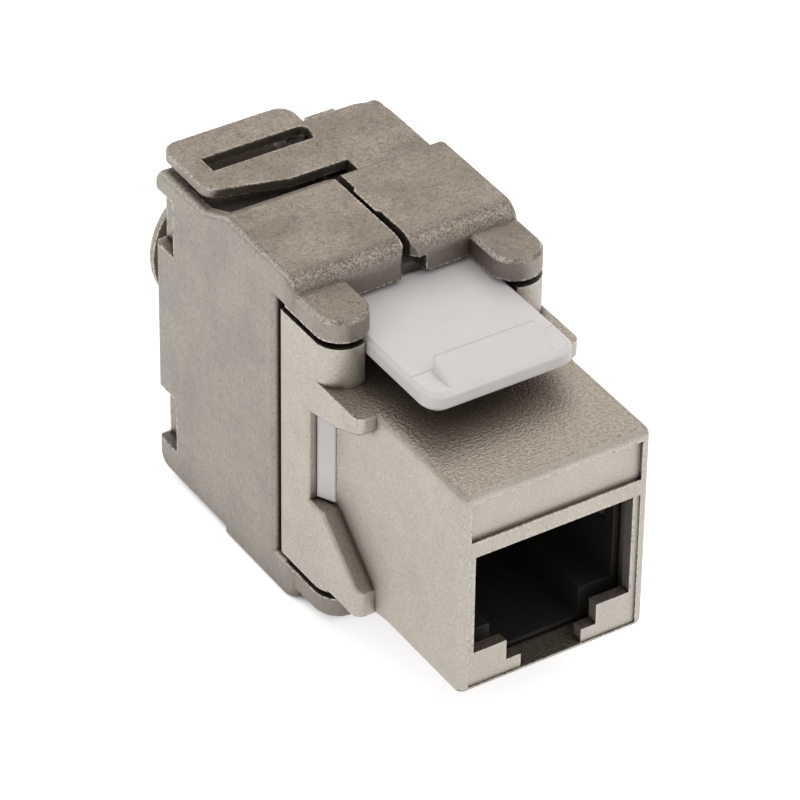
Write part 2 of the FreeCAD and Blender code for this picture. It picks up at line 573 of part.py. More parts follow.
def contact_insert():
    piece = Piece("contact_insert")
    low = "(%s + insert_gap)" % CAVITY_FLOOR
    front = "(%s + insert_front)" % CAVITY_FRONT
    piece.pad("XZ", [centred(INSERT_SIDE, low, INSERT_TOP)], front, INSERT_BACK)
    piece.pocket("XZ", [port_outline(INSERT_LOW, "%s + insert_floor" % low)], front, "insert_rear")

    # Windows for the ground springs
    front, rear = ground_spring_ends()
    low, high = ground_spring_levels()
    window = box_outline("%s - spring_gap" % front, "%s - spring_gap" % low,
                         "%s + spring_gap" % rear, "%s + spring_gap" % high)
    for side in (1, -1):
        piece.pocket("YZ", [window], *sided(side, "port_width / 2", INSERT_SIDE))

    # Comb that guides the contact springs
    comb_low = "(%s - comb_drop)" % INSERT_LOW
    comb_front = "(insert_rear - comb_length)"
    comb = centred("%d * contact_pitch / 2 + comb_slot" % CONTACTS, comb_low, INSERT_LOW)
    piece.pad("XZ", [comb], comb_front, "insert_rear")
    slots = []
    for number in range(1, CONTACTS + 1):
        x = contact_place(number)
        slots.append(box_outline("%s - comb_slot / 2" % x, comb_low, "%s + comb_slot / 2" % x, INSERT_LOW))
    piece.pocket("XZ", slots, comb_front, INSERT_BACK)
    return piece


def contact_spring(number):
    """Stamped strip from the board along the insert, bent back down into the port."""
    piece = Piece("contact_spring_%d" % number)
    start = "(%s + board_wall / 2)" % BOARD_FRONT
    front = "(%s + contact_setback)" % CAVITY_FRONT
    end = "(insert_rear - contact_end)"
    high = "(%s + contact_wall / 2)" % CONTACT_LEVEL
    low = "(%s - contact_wall / 2)" % CONTACT_LEVEL
    bend = "(%s - contact_bend)" % CONTACT_LEVEL
    tip = "(%s - contact_dip)" % INSERT_LOW
    strip = [(start, high), (front, high), ("%s - contact_bend" % front, "(%s + %s) / 2" % (high, bend)),
             (front, bend), (end, tip), (end, "%s + contact_wall" % tip), (front, "%s + contact_wall" % bend),
             (front, low), (start, low)]
    x = contact_place(number)
    piece.pad("YZ", [strip], "%s - contact_width / 2" % x, "%s + contact_width / 2" % x)
    return piece


def ground_spring_ends():
    """Front and rear end of a ground spring along the port."""
    front = "(%s + spring_setback)" % CAVITY_FRONT
    return front, "(%s + spring_lead + spring_run + spring_foot)" % front


def ground_spring_levels():
    """Lower and upper edge of a ground spring."""
    high = "(%s - spring_drop)" % PORT_TOP
    return "(%s - spring_height)" % high, high


def ground_spring(side):
    piece = Piece("ground_spring_right" if side > 0 else "ground_spring_left")
    outer = "(%s - spring_gap)" % CAVITY_SIDE
    bowed = "(%s - spring_bow)" % outer
    front, rear = ground_spring_ends()
    spine = [(outer, front), (bowed, "%s + spring_lead" % front), (outer, "%s - spring_foot" % rear),
             (outer, rear)]
    strip = spine + [("%s - spring_wall" % x, y) for x, y in reversed(spine)]
    if side < 0:
        strip = [(flip(x), y) for x, y in strip]
    piece.pad("XY", [strip], *ground_spring_levels())
    return piece


def terminal_places():
    """Middle of each terminal in X and Z, the upper row first."""
    spread = "(%s - terminal_margin - terminal_width / 2)" % INSERT_SIDE
    places = []
    for way in ("+", "-"):
        for column in range(TERMINALS_PER_ROW):
            x = "((2 * %d / %d - 1) * %s)" % (column, TERMINALS_PER_ROW - 1, spread)
            places.append((x, "(terminal_mid %s terminal_rows / 2)" % way))
    return places


def around_terminal(place, gap):
    x, z = place
    half = "(terminal_width / 2 + %s)" % gap
    deep = "(terminal_wall / 2 + %s)" % gap
    low = ("%s - %s" % (x, half), "%s - %s" % (z, deep))
    high = ("%s + %s" % (x, half), "%s + %s" % (z, deep))
    return box_outline(*low, *high)


def circuit_board():
    piece = Piece("circuit_board")
    side = "(%s - board_margin)" % INSERT_SIDE
    plate = centred(side, "%s + board_margin + insert_gap" % CAVITY_FLOOR, "%s - board_margin" % INSERT_TOP)
    piece.pad("XZ", [plate], BOARD_FRONT, BOARD_REAR)
    holes = [(place, "board_hole") for place in terminal_places()]
    half = "(contact_width / 2 + running_clearance)"
    deep = "(contact_wall / 2 + running_clearance)"
    for number in range(1, CONTACTS + 1):
        x = contact_place(number)
        holes.append(box_outline("%s - %s" % (x, half), "%s - %s" % (CONTACT_LEVEL, deep),
                                 "%s + %s" % (x, half), "%s + %s" % (CONTACT_LEVEL, deep)))
    piece.pocket("XZ", holes, BOARD_FRONT, BOARD_REAR)
    return piece


def terminal_carrier():
    piece = Piece("terminal_carrier")
    low = "(%s + belly_wall + carrier_gap)" % BELLY
    high = "(%s - deck_wall - carrier_gap)" % DECK_TOP
    shoulder = "(%s + boss_gap)" % WINDOW_FRONT
    piece.pad("XZ", [centred(INSERT_SIDE, low, "%s - insert_gap" % INSERT_TOP)], CARRIER_FRONT, shoulder)
    piece.pad("XZ", [centred(CARRIER_SIDE, low, high)], shoulder, "frame_length")
    piece.pad("XZ", [centred(FLANGE_SIDE, FLANGE_LOW, FLANGE_TOP)], "frame_length", CARRIER_REAR)

    # Snap bosses that fill the side windows of the housing
    crest = "(%s + carrier_side + boss_rise)" % CARRIER_SIDE
    end = "(%s - boss_gap)" % WINDOW_REAR
    for side in (1, -1):
        boss = [(CARRIER_SIDE, shoulder), ("%s + boss_lead" % CARRIER_SIDE, shoulder), (crest, end),
                (CARRIER_SIDE, end)]
        if side < 0:
            boss = [(flip(x), y) for x, y in boss]
        piece.pad("XY", [boss], "window_bottom + boss_gap", "window_top - boss_gap")

    # Slots for the terminals, and a groove between the two rows
    slots = [around_terminal(place, "terminal_gap") for place in terminal_places()]
    piece.pocket("XZ", slots, CARRIER_FRONT, CARRIER_REAR)
    groove = centred(FLANGE_SIDE, "terminal_mid - throat_height / 4", "terminal_mid + throat_height / 4")
    piece.pocket("XZ", [groove], "(%s + frame_length) / 2" % CARRIER_REAR, CARRIER_REAR)
    return piece


def terminal(number, place):
    """Forked blade with a pin in the board at its front end."""
    piece = Piece("idc_terminal_%d" % number)
    x, z = place
    pin_end = "(%s - pin_length)" % CARRIER_FRONT
    end = "(%s + socket_depth - socket_end_gap)" % MANAGER_FRONT
    right = [("pin_width / 2", pin_end), ("pin_width / 2", CARRIER_FRONT),
             ("terminal_width / 2", CARRIER_FRONT), ("terminal_width / 2", end),
             ("fork_slot / 2 + fork_flare", end),
             ("fork_slot / 2", "%s - fork_flare" % end), ("fork_slot / 2", "%s - fork_depth" % end)]
    blade = [("%s + %s" % (x, u), v) for u, v in right]
    blade += [("%s - (%s)" % (x, u), v) for u, v in reversed(right)]
    piece.pad("XY", [blade], "%s - terminal_wall / 2" % z, "%s + terminal_wall / 2" % z)
    return piece


def wire_manager():
    piece = Piece("wire_manager")
    side = "(%s - manager_inset)" % FLANGE_SIDE
    low = "(%s + manager_inset)" % FLANGE_LOW
    high = "(%s - manager_inset)" % FLANGE_TOP
    piece.pad("XZ", [centred(side, low, high)], MANAGER_FRONT, MANAGER_REAR)
    half, bottom, top = value(side), value(low), value(high)

    def corner(edge):
        middle = edge.CenterOfMass
        return near(abs(middle.x), half) and (near(middle.z, bottom) or near(middle.z, top))
    piece.round("manager_round", corner)
    sockets = [around_terminal(place, "socket_gap") for place in terminal_places()]
    piece.pocket("XZ", sockets, MANAGER_FRONT, "%s + socket_depth" % MANAGER_FRONT)
    throat = centred("throat_width / 2", "terminal_mid - throat_height / 2",
                     "terminal_mid + throat_height / 2")
    piece.pocket("XZ", [throat], MANAGER_FRONT, MANAGER_REAR)
    channels = []
    for x, z in terminal_places():
        ends = ("%s - channel_depth" % high, high) if "+" in z else (low, "%s + channel_depth" % low)
        sides = ("%s - channel_width / 2" % x, "%s + channel_width / 2" % x)
        channels.append(box_outline(sides[0], ends[0], sides[1], ends[1]))
    piece.pocket("XZ", channels, "%s + channel_start" % MANAGER_FRONT, MANAGER_REAR)
    return piece


# Every sub-part of the jack
pieces = [front_housing(), left_door(), right_door(), release_latch(), contact_insert(), circuit_board(),
          terminal_carrier(), wire_manager(), ground_spring(-1), ground_spring(1)]
pieces += [terminal(index + 1, place) for index, place in enumerate(terminal_places())]
pieces += [contact_spring(number) for number in range(1, CONTACTS + 1)]
solids = [piece.body for piece in pieces]
doc.recompute()

for item in doc.Objects:
    if "Invalid" in item.State or "Error" in item.State:
        raise RuntimeError("%s failed" % item.Name)
for solid in solids:
    if solid.Shape.isNull() or not solid.Shape.isValid():
        raise RuntimeError("%s has no valid shape" % solid.Label)
    if len(solid.Shape.Solids) != 1:
        raise RuntimeError("%s is not one solid" % solid.Label)

os.makedirs("parts", exist_ok=True)
for solid in solids:
    solid.Shape.exportStep("parts/%s.step" % solid.Label)
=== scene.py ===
import json
import math

import bmesh
import bpy
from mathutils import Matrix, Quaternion, Vector


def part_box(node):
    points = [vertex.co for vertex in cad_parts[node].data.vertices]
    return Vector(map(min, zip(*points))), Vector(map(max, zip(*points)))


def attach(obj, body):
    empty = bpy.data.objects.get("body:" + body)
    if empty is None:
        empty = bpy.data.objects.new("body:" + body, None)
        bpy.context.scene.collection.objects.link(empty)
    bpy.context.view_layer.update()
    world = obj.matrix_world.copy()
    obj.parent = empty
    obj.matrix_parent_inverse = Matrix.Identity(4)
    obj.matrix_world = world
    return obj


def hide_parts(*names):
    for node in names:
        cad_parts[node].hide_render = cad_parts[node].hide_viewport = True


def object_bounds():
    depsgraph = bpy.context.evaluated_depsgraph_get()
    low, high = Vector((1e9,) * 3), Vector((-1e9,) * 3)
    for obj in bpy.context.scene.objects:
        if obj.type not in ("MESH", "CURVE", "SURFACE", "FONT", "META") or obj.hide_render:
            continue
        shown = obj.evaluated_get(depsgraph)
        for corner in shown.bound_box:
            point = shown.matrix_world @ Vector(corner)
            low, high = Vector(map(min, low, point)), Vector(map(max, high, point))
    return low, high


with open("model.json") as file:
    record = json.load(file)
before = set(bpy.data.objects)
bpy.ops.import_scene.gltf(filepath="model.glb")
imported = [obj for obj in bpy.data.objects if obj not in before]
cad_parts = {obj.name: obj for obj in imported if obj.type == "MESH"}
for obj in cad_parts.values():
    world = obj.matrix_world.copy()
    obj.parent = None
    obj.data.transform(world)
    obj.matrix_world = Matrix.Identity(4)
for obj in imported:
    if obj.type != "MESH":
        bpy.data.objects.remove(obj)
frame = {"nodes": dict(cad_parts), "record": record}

# Looks of a shielded keystone jack: a sandy cast nose, two cast doors with brown worn tops,
# white mouldings, and the contacts and terminals inside.
# The frame is the part's own: X to the right, Y to the rear, Z up, in metres.

MM = 0.001
X, Y, Z = 0, 1, 2
cad_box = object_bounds()

# Camera
CAMERA_AIM = Vector((-1.312, 6.427, 3.145)) * MM
CAMERA_AZIMUTH = math.radians(-32.721)
CAMERA_ELEVATION = math.radians(36.469)
CAMERA_ROLL = math.radians(0.838)
CAMERA_DISTANCE = 330.58 * MM
CAMERA_LENS = 225.0
CAMERA_SENSOR = 36.0
CAMERA_RANGE = 100

# Softboxes: name, place, size and power
SOFTBOXES = [
    ("key_softbox", Vector((0.30, -0.40, 0.65)), 0.45, 0.7),
    ("rear_softbox", Vector((0.30, 0.50, 0.65)), 0.55, 0.75),
    ("left_softbox", Vector((-0.75, -0.05, 0.45)), 0.5, 0.4),
]
STUDIO_WHITE = (0.66, 0.655, 0.645, 1)


def aimed_turn(direction):
    """Turn that points a lamp or a camera along a direction, with its top upwards."""
    return direction.to_track_quat("-Z", "Y")


def add_camera():
    level = math.cos(CAMERA_ELEVATION)
    back = Vector((math.sin(CAMERA_AZIMUTH) * level, -math.cos(CAMERA_AZIMUTH) * level,
                   math.sin(CAMERA_ELEVATION)))
    data = bpy.data.cameras.new("photo_camera")
    data.lens = CAMERA_LENS
    data.sensor_width = CAMERA_SENSOR
    data.clip_start = CAMERA_DISTANCE / CAMERA_RANGE
    data.clip_end = CAMERA_DISTANCE * CAMERA_RANGE
    camera = bpy.data.objects.new("photo_camera", data)
    camera.location = CAMERA_AIM + back * CAMERA_DISTANCE
    camera.rotation_mode = "QUATERNION"
    camera.rotation_quaternion = aimed_turn(-back) @ Quaternion((0, 0, 1), CAMERA_ROLL)
    bpy.context.scene.collection.objects.link(camera)
    bpy.context.scene.camera = camera


def add_softbox(name, place, size, power):
    """A square soft lamp that faces the jack."""
    data = bpy.data.lights.new(name, "AREA")
    data.shape = "SQUARE"
    data.size = size
    data.energy = power
    lamp = bpy.data.objects.new(name, data)
    lamp.location = place
    lamp.rotation_mode = "QUATERNION"
    lamp.rotation_quaternion = aimed_turn(CAMERA_AIM - lamp.location)
    bpy.context.scene.collection.objects.link(lamp)


# Node trees

def feed(tree, socket, source):
    """Links a socket, or sets a constant on it."""
    if isinstance(source, bpy.types.NodeSocket):
        tree.links.new(source, socket)
    else:
        socket.default_value = source


def add_node(tree, kind, settings=None, inputs=None):
    node = tree.nodes.new("ShaderNode" + kind)
    for name, setting in (settings or {}).items():
        setattr(node, name, setting)
    for name, source in (inputs or {}).items():
        feed(tree, node.inputs[name], source)
    return node


def calculate(tree, operation, first, second=0.0, clamp=False):
    node = add_node(tree, "Math", {"operation": operation, "use_clamp": clamp}, {0: first, 1: second})
    return node.outputs[0]


def both(tree, first, second):
    """Where two masks meet, or a share of one."""
    return calculate(tree, "MULTIPLY", first, second)


def distance(tree, value, level):
    return calculate(tree, "ABSOLUTE", calculate(tree, "SUBTRACT", value, level))


def remap(tree, value, low, high, to_low=0.0, to_high=1.0):
    """A smooth step of a value between two limits."""
    node = add_node(tree, "MapRange", {"interpolation_type": "SMOOTHSTEP"},
                    {"Value": value, "From Min": low, "From Max": high,
                     "To Min": to_low, "To Max": to_high})
    return node.outputs["Result"]


def mix_colour(tree, factor, first, second):
    node = add_node(tree, "Mix", {"data_type": "RGBA"})
    feed(tree, node.inputs[0], factor)
    feed(tree, node.inputs[6], first)
    feed(tree, node.inputs[7], second)
    return node.outputs[2]


def layered(tree, colour, layers):
    """A colour with others laid over it in turn. Each row is a mask, its share and a colour."""
    for mask, share, layer in layers:
        colour = mix_colour(tree, both(tree, mask, share), colour, layer)
    return colour


def noise(tree, place, scale, detail=2.0, roughness=0.5, swirl=0.0):
    node = add_node(tree, "TexNoise", None, {"Vector": place, "Scale": scale, "Detail": detail,
                                             "Roughness": roughness, "Distortion": swirl})
    return node.outputs["Fac"]


def along(tree, vector, axis):
    return add_node(tree, "SeparateXYZ", None, {"Vector": vector}).outputs[axis]


def beside(tree, place, axis, level, reach):
    """Mask of a band on either side of a plane across an axis."""
    return remap(tree, distance(tree, along(tree, place, axis), level), reach, reach / 3)


def openness(tree, reach, samples, inside=False):
    """How open a place is to its surroundings, or to the inside of its own piece."""
    settings = {"samples": samples, "inside": inside, "only_local": inside}
    return add_node(tree, "AmbientOcclusion", settings, {"Distance": reach}).outputs["AO"]


def new_group(name, inputs, outputs):
    """An empty shader group, with its input and output nodes. An input with no default is a vector."""
    tree = bpy.data.node_groups.new(name, "ShaderNodeTree")
    for label, default in inputs.items():
        kind = "NodeSocketVector" if default is None else "NodeSocketFloat"
        socket = tree.interface.new_socket(label, in_out="INPUT", socket_type=kind)
        if default is not None:
            socket.default_value = default
    for label in outputs:
        tree.interface.new_socket(label, in_out="OUTPUT", socket_type="NodeSocketFloat")
    return tree, tree.nodes.new("NodeGroupInput").outputs, tree.nodes.new("NodeGroupOutput").inputs


def use_group(tree, group, inputs):
    node = tree.nodes.new("ShaderNodeGroup")
    node.node_tree = group
    for name, source in inputs.items():
        feed(tree, node.inputs[name], source)
    return node.outputs


# Effects that several finishes share, with the limits between which a mask goes from none to full

TONE_RANGE = (0.3, 0.7)
TONE_SCALE = 260.0
OPEN_SAMPLES = 12
EDGE_RANGE = (0.95, 0.6)
EDGE_BRIGHT = (0.44, 0.56)
EDGE_DARK = (0.44, 0.34)
FLECK_FADE = 0.08
VEIN_LEVEL = 0.5
VEIN_PATCH_SCALE = 900.0
VEIN_PATCHES = (0.43, 0.58)


def worn_and_highlit_edge_group():
    """Masks of a casting's outer edges: bright flecks where handling polishes them, which also stand
    for a painted highlight along the edges, and dark ones between.
    """
    tree, given, out = new_group("worn_and_highlit_edges", {"Place": None, "Width": 0.25 * MM, "Fleck": 5500.0},
                                 ["Bright", "Dark"])
    edge = remap(tree, openness(tree, given["Width"], OPEN_SAMPLES, inside=True), *EDGE_RANGE)
    fleck = noise(tree, given["Place"], given["Fleck"], detail=2.0, roughness=0.6)
    feed(tree, out["Bright"], both(tree, edge, remap(tree, fleck, *EDGE_BRIGHT)))
    feed(tree, out["Dark"], both(tree, edge, remap(tree, fleck, *EDGE_DARK)))
    return tree


def occlusion_shade_group():
    """Mask of the inner corners, gaps and overhung places, for a painted shade there."""
    tree, given, out = new_group("painted_occlusion_shade", {"Reach": 0.6 * MM, "Open": 0.85, "Closed": 0.25}, ["Mask"])
    outside = openness(tree, given["Reach"], OPEN_SAMPLES)
    feed(tree, out["Mask"], remap(tree, outside, given["Open"], given["Closed"]))
    return tree


def cast_skin_group():
    """Skin of a cast or moulded piece: its grain, the ripples of the mould, and a slow change of tone."""
    tree, given, out = new_group("cast_skin", {"Place": None, "Grain": 7000.0, "Ripple": 3500.0},
                                 ["Grain", "Ripple", "Tone"])
    at = given["Place"]
    feed(tree, out["Grain"], noise(tree, at, given["Grain"], detail=2.0, roughness=0.6))
    feed(tree, out["Ripple"], noise(tree, at, given["Ripple"], detail=2.0, roughness=0.6))
    feed(tree, out["Tone"], noise(tree, at, TONE_SCALE, detail=5.0, roughness=0.62))
    return tree


def fleck_group():
    """Mask of short dark flecks, drawn out along one direction."""
    tree, given, out = new_group("dark_flecks", {"Place": None, "Along": None, "Share": 0.33}, ["Mask"])
    drawn = add_node(tree, "VectorMath", {"operation": "MULTIPLY"},
                     {0: given["Place"], 1: given["Along"]})
    fine = noise(tree, drawn.outputs["Vector"], 1.0, detail=3.0, roughness=0.65)
    faint = calculate(tree, "ADD", given["Share"], FLECK_FADE)
    feed(tree, out["Mask"], remap(tree, fine, faint, given["Share"]))
    return tree


def vein_group():
    """Mask of thin crinkled veins, in patches, as on a casting where the metal flowed together."""
    tree, given, out = new_group("flow_veins", {"Place": None, "Scale": 800.0, "Width": 0.022}, ["Mask"])
    at = given["Place"]
    swell = noise(tree, at, given["Scale"], detail=3.0, roughness=0.6, swirl=1.0)
    line = remap(tree, distance(tree, swell, VEIN_LEVEL), given["Width"], 0.0)
    patch = noise(tree, at, VEIN_PATCH_SCALE, detail=3.0, roughness=0.6)
    feed(tree, out["Mask"], both(tree, line, remap(tree, patch, *VEIN_PATCHES)))
    return tree


WORN_AND_HIGHLIT_EDGES = worn_and_highlit_edge_group()
OCCLUSION_SHADE = occlusion_shade_group()
CAST_SKIN = cast_skin_group()
FLECKS = fleck_group()
VEINS = vein_group()


# Finishes

BEVEL_SAMPLES = 6


def new_finish(name):
    """A material with an empty Principled shader, and its texture coordinates."""
    material = bpy.data.materials.new(name)
    material.use_nodes = True
    tree = material.node_tree
    shader = tree.nodes["Principled BSDF"]
    place = add_node(tree, "TexCoord").outputs
    return material, tree, shader, place


def bump(tree, height, depth, strength, edge=None):
    """Normals of a relief, over edges that are rounded by a radius where one is given."""
    inputs = {"Height": height, "Distance": depth, "Strength": strength}
    if edge is not None:
        rounded = add_node(tree, "Bevel", {"samples": BEVEL_SAMPLES}, {"Radius": edge})
        inputs["Normal"] = rounded.outputs["Normal"]
    return add_node(tree, "Bump", None, inputs).outputs["Normal"]


# Both castings
WEAR_AND_GLINT_BRIGHT = (0.76, 0.71, 0.64, 1)
SEAM_MARK_AND_CREVICE_SHADE = (0.03, 0.023, 0.017, 1)
SHADE_BROWN = (0.13, 0.10, 0.077, 1)
FLECK_AND_SHADE_BROWN = (0.14, 0.115, 0.09, 1)
UNDERSIDE_SHADE_FACING = (-0.25, -0.7)
CAST_METAL = 0.9
CAST_BUMP = 0.9

# Casting of the nose and the frame, and of the deck on top of them
SAND_DARK = (0.475, 0.438, 0.386, 1)
SAND_LIGHT = (0.52, 0.482, 0.427, 1)
SAND_PIT = (0.24, 0.205, 0.165, 1)
SAND_PITS = (0.44, 0.3)
SAND_GLINTS = (0.56, 0.72)
# Deck colours, for faces turned up: a browner rippled skin, darker in part as a painted shade
DECK_DARK = (0.39, 0.335, 0.275, 1)
DECK_LIGHT = (0.50, 0.44, 0.37, 1)
DECK_FACING = (0.6, 0.95)
DECK_RIPPLES = (0.35, 0.65)
OFF_FRONT = (-0.98, -0.85)
FRONT_CREVICE_SHADE = 0.35
SAND_TO_DECK_ROUGHNESS = (0.52, 0.38)
SAND_TO_DECK_RIPPLE = (0.4, 3.0)
SAND_RELIEF = 0.03 * MM
SAND_EDGE = 0.08 * MM


def cast_front_finish():
    """Sandy casting of the nose and the frame, browner and rippled on the deck, whose darker tone
    is in part a painted shade of the faces turned up.
    """
    material, tree, shader, place = new_finish("sandy_nickel_casting")
    at = place["Object"]
    height = along(tree, place["Normal"], "Z")
    ahead = along(tree, place["Normal"], "Y")
    up = remap(tree, height, *DECK_FACING)
    skin = use_group(tree, CAST_SKIN, {"Place": at, "Grain": 7500.0, "Ripple": 4000.0})
    grain = skin["Grain"]
    edge = use_group(tree, WORN_AND_HIGHLIT_EDGES, {"Place": at, "Width": 0.3 * MM, "Fleck": 3800.0})
    crevice_shade = use_group(tree, OCCLUSION_SHADE, {"Reach": 0.7 * MM, "Open": 0.85, "Closed": 0.4})["Mask"]
    overhang_shade = use_group(tree, OCCLUSION_SHADE, {"Reach": 3.0 * MM, "Open": 0.85, "Closed": 0.3})["Mask"]
    sand = mix_colour(tree, remap(tree, skin["Tone"], *TONE_RANGE), SAND_DARK, SAND_LIGHT)
    deck = mix_colour(tree, remap(tree, skin["Ripple"], *DECK_RIPPLES), DECK_DARK, DECK_LIGHT)
    body = layered(tree, mix_colour(tree, up, sand, deck), [
        (remap(tree, grain, *SAND_PITS), 0.45, SAND_PIT),
        (remap(tree, grain, *SAND_GLINTS), 0.45, WEAR_AND_GLINT_BRIGHT),
        # Painted shade on faces turned downwards
        (remap(tree, height, *UNDERSIDE_SHADE_FACING), 0.8, FLECK_AND_SHADE_BROWN),
        # Painted shade under overhangs, kept off the front face
        (both(tree, overhang_shade, remap(tree, ahead, *OFF_FRONT)), 0.8, SHADE_BROWN),
        # Bright edge flecks: wear, and a painted highlight along the edges
        (edge["Bright"], 0.4, WEAR_AND_GLINT_BRIGHT),
        (edge["Dark"], 0.4, FLECK_AND_SHADE_BROWN),
        # Painted shade in creases and gaps, weaker on the front face
        (both(tree, crevice_shade, remap(tree, ahead, *OFF_FRONT, FRONT_CREVICE_SHADE, 1.0)), 0.85, SEAM_MARK_AND_CREVICE_SHADE),
    ])
    feed(tree, shader.inputs["Base Color"], body)
    shader.inputs["Metallic"].default_value = CAST_METAL
    feed(tree, shader.inputs["Roughness"], remap(tree, up, 0.0, 1.0, *SAND_TO_DECK_ROUGHNESS))
    ripple = both(tree, skin["Ripple"], remap(tree, up, 0.0, 1.0, *SAND_TO_DECK_RIPPLE))
    relief = calculate(tree, "ADD", grain, ripple)
    feed(tree, shader.inputs["Normal"], bump(tree, relief, SAND_RELIEF, CAST_BUMP, SAND_EDGE))
    return material


# Casting of the doors: its sides and tops, the brows and lips of the tops, the ears and the seam
DOOR_SIDE_DARK = (0.30, 0.272, 0.24, 1)
DOOR_SIDE_LIGHT = (0.38, 0.342, 0.293, 1)
DOOR_SIDE_CLOUD = (0.27, 0.26, 0.255, 1)
DOOR_SIDE_HAIR = (0.19, 0.178, 0.172, 1)
SIDE_CLOUDS = (0.55, 0.3)
HAIR_STRETCH = (5200.0, 5200.0, 2000.0)
HAIR_SHARE = 0.36
DOOR_TOP_DARK = (0.305, 0.257, 0.211, 1)
DOOR_TOP_LIGHT = (0.445, 0.383, 0.32, 1)
DOOR_TOP_CLOUD = (0.28, 0.23, 0.185, 1)
DOOR_TOP_PIT = (0.20, 0.165, 0.13, 1)
TOP_FACING = (0.3, 0.9)
TOP_CLOUDS = (0.58, 0.35)
TOP_PITS = (0.45, 0.3)
TOP_GLINTS = (0.56, 0.68)
SPECK_STRETCH = (3400.0, 5200.0, 4000.0)
SPECK_SHARE = 0.335
MOTTLE_SCALE = 2600.0
MOTTLE_RANGE = (0.35, 0.65)
BROW_ASIDE = (0.35, 0.6)
BROW_UP = (0.4, 0.65)
BROW_GLINTS = (0.36, 0.5)
LIP_AHEAD = (-0.15, -0.45)
LIP_UP = (0.2, 0.5)
LIP_GLINTS = (0.52, 0.6)
LIP_PITS = (0.48, 0.36)
EAR_ROOT = 9.2 * MM
EAR_BLEND = 0.5 * MM
DOOR_FRONT = 10.4 * MM
SEAM_REACH = 0.35 * MM
SEAM_MIDDLE = 1.2 * MM
SEAM_HALF = 9.9 * MM
SEAM_BLEND = 0.4 * MM
SEAM_ASIDE = (0.8, 0.95)
SEAM_CRUMBS = (0.5, 0.42)
DOOR_ROUGHNESS = (0.52, 0.42)
SIDE_TO_TOP_RELIEF = (0.4, 1.0)
DOOR_RIPPLE = 1.2
DOOR_RELIEF = 0.035 * MM
DOOR_EDGE = 0.06 * MM


